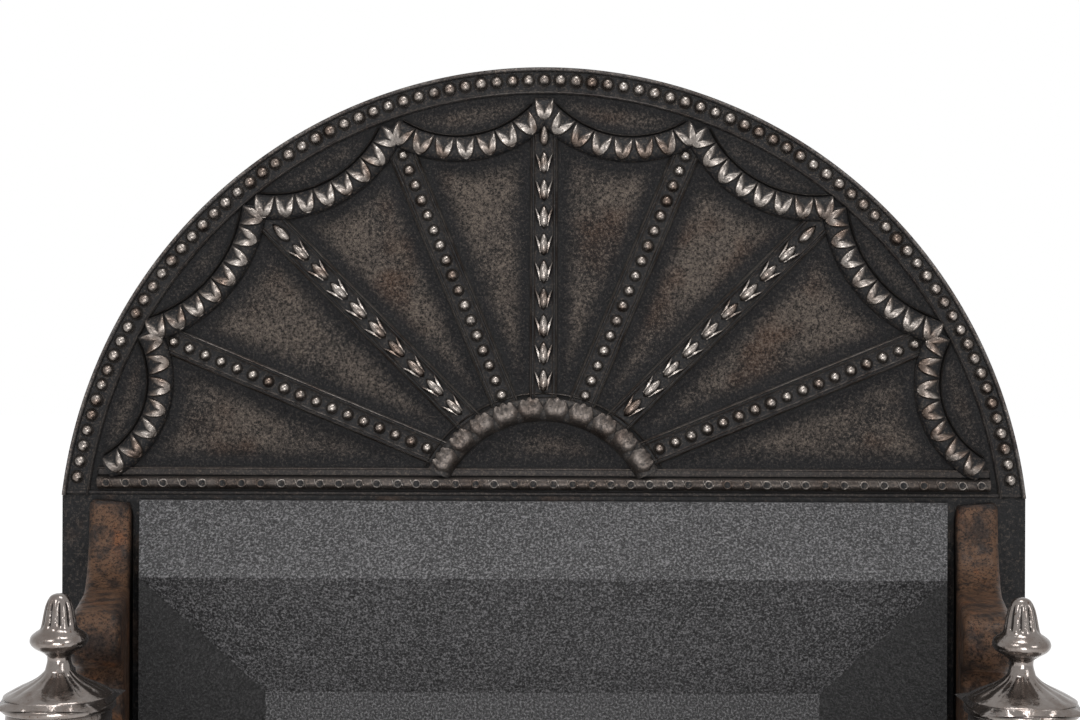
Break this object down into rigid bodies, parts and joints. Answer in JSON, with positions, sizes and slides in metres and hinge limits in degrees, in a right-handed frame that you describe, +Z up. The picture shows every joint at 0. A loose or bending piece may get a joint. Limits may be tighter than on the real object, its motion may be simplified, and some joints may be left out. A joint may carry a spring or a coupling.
{
  "type": "fire grate",
  "caption": "Free-standing fire grate with an arched back panel carved with a fan, beads and swags, a raked fireback, armed cheeks, urn-topped standards and a loose fire bed.",
  "frame": {"origin": "on the floor, in the middle of the whole grate's width and depth", "axes": "+X to the right seen from the front, -Y forward out of the grate, +Z up"},
  "size_m": [0.64, 0.35, 0.715],
  "materials": {
    "carved_casting": "blackened and rubbed cast iron, bright worn silver on the raised carving",
    "black_casting": "black granular cast iron",
    "fireback_casting": "graphite-polished granular cast iron",
    "browned_casting": "heat-browned cast iron with a thin rust bloom",
    "black_bar": "black forged iron bar",
    "dark_fasteners": "dark oiled iron fasteners",
    "polished_steel": "polished steel with dark pits and tarnish in the hollows"
  },
  "bodies": {
    "grate": {"arch_panel": "carved_casting", "back_plate": "black_casting", "bearer_bolts": "dark_fasteners", "bearer_nuts": "dark_fasteners", "bottom_rail": "polished_steel", "centre_seam_strap": "black_bar", "cheek_bolts": "dark_fasteners", "fireback": "fireback_casting", "fireback_bolts": "dark_fasteners", "front_bearer": "black_bar", "left_cheek": "browned_casting", "left_seam_strap": "black_bar", "left_standard": "polished_steel", "left_urn": "polished_steel", "left_urn_lid": "polished_steel", "lower_middle_rail": "polished_steel", "patera_bolts": "polished_steel", "pierced_apron": "polished_steel", "rear_bearer": "black_bar", "right_cheek": "browned_casting", "right_seam_strap": "black_bar", "right_standard": "polished_steel", "right_urn": "polished_steel", "right_urn_lid": "polished_steel", "seam_screws": "dark_fasteners", "top_rail": "polished_steel", "upper_middle_rail": "polished_steel", "urn_studs": "dark_fasteners"},
    "loose_bed": {"fire_bed": "black_casting"}
  },
  "joints": [
    {"name": "fire_bed_lift", "type": "slide", "parent": "grate", "child": "loose_bed", "axis": [0, 0, 1], "range_m": [0, 0.14]}
  ]
}
